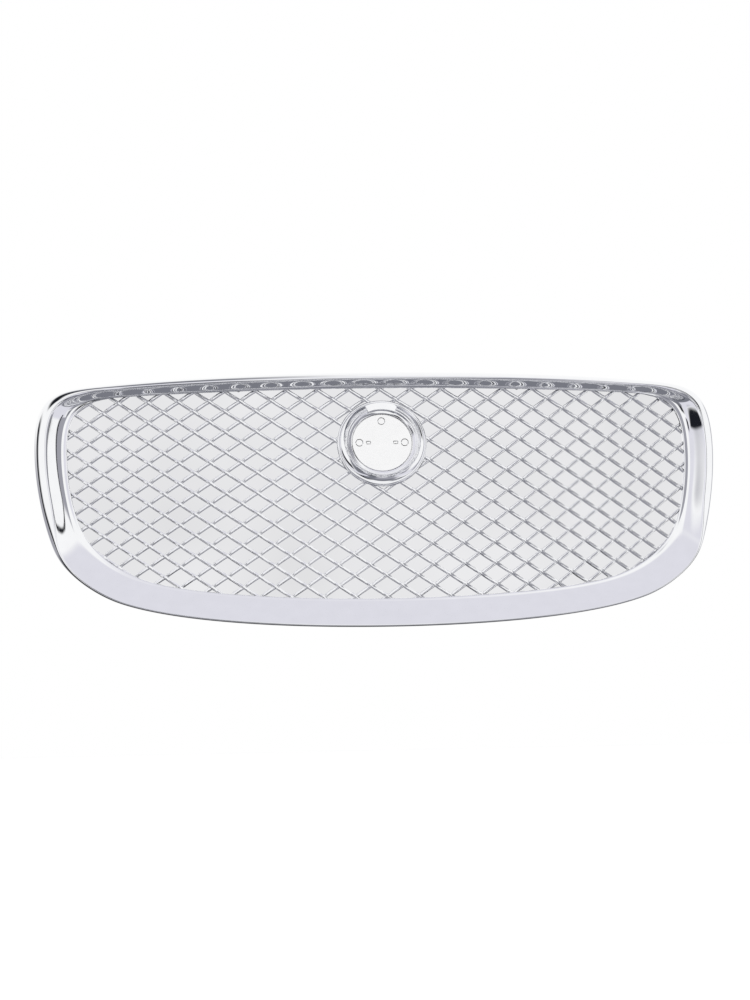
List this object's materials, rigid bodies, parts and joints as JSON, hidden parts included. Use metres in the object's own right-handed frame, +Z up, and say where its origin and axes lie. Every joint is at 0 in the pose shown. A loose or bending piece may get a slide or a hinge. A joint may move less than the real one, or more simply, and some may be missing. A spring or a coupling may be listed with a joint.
{
  "type": "front grille",
  "caption": "Chrome front grille for a large saloon car: dished rounded surround, diamond mesh insert and a round recessed emblem seat.",
  "frame": {"origin": "centre of the emblem seat floor", "axes": "+X to the right of the grille as seen from in front of the car, -Y out of its front, +Z up; the front leans back 18 degrees"},
  "size_m": [0.856, 0.2136, 0.3105],
  "materials": {
    "surround_chrome": "bright chrome plating on moulded plastic",
    "mesh_chrome": "bright chrome plating on a moulded plastic lattice",
    "bezel_chrome": "bright chrome plating on moulded plastic",
    "seat_bright": "bright silver plating, slightly satin",
    "carrier_black": "fine-grained black glass-filled plastic",
    "screw_zinc": "bright zinc plating",
    "clip_steel": "dark phosphated spring steel"
  },
  "bodies": {
    "root": {"surround": "surround_chrome", "mesh_insert": "mesh_chrome", "rear_carrier": "carrier_black", "emblem_bezel": "bezel_chrome", "emblem_base": "seat_bright", "emblem_clamp_plate": "carrier_black", "frame_screw_01": "screw_zinc", "frame_screw_02": "screw_zinc", "frame_screw_03": "screw_zinc", "frame_screw_04": "screw_zinc", "frame_screw_05": "screw_zinc", "frame_screw_06": "screw_zinc", "frame_screw_07": "screw_zinc", "frame_screw_08": "screw_zinc", "frame_screw_09": "screw_zinc", "frame_screw_10": "screw_zinc", "emblem_screw_1": "screw_zinc", "emblem_screw_2": "screw_zinc", "emblem_screw_3": "screw_zinc", "upper_clip_1": "clip_steel", "upper_clip_2": "clip_steel", "upper_clip_3": "clip_steel", "upper_clip_4": "clip_steel", "lower_clip_1": "clip_steel", "lower_clip_2": "clip_steel", "lower_clip_3": "clip_steel", "lower_clip_4": "clip_steel"}
  },
  "joints": []
}
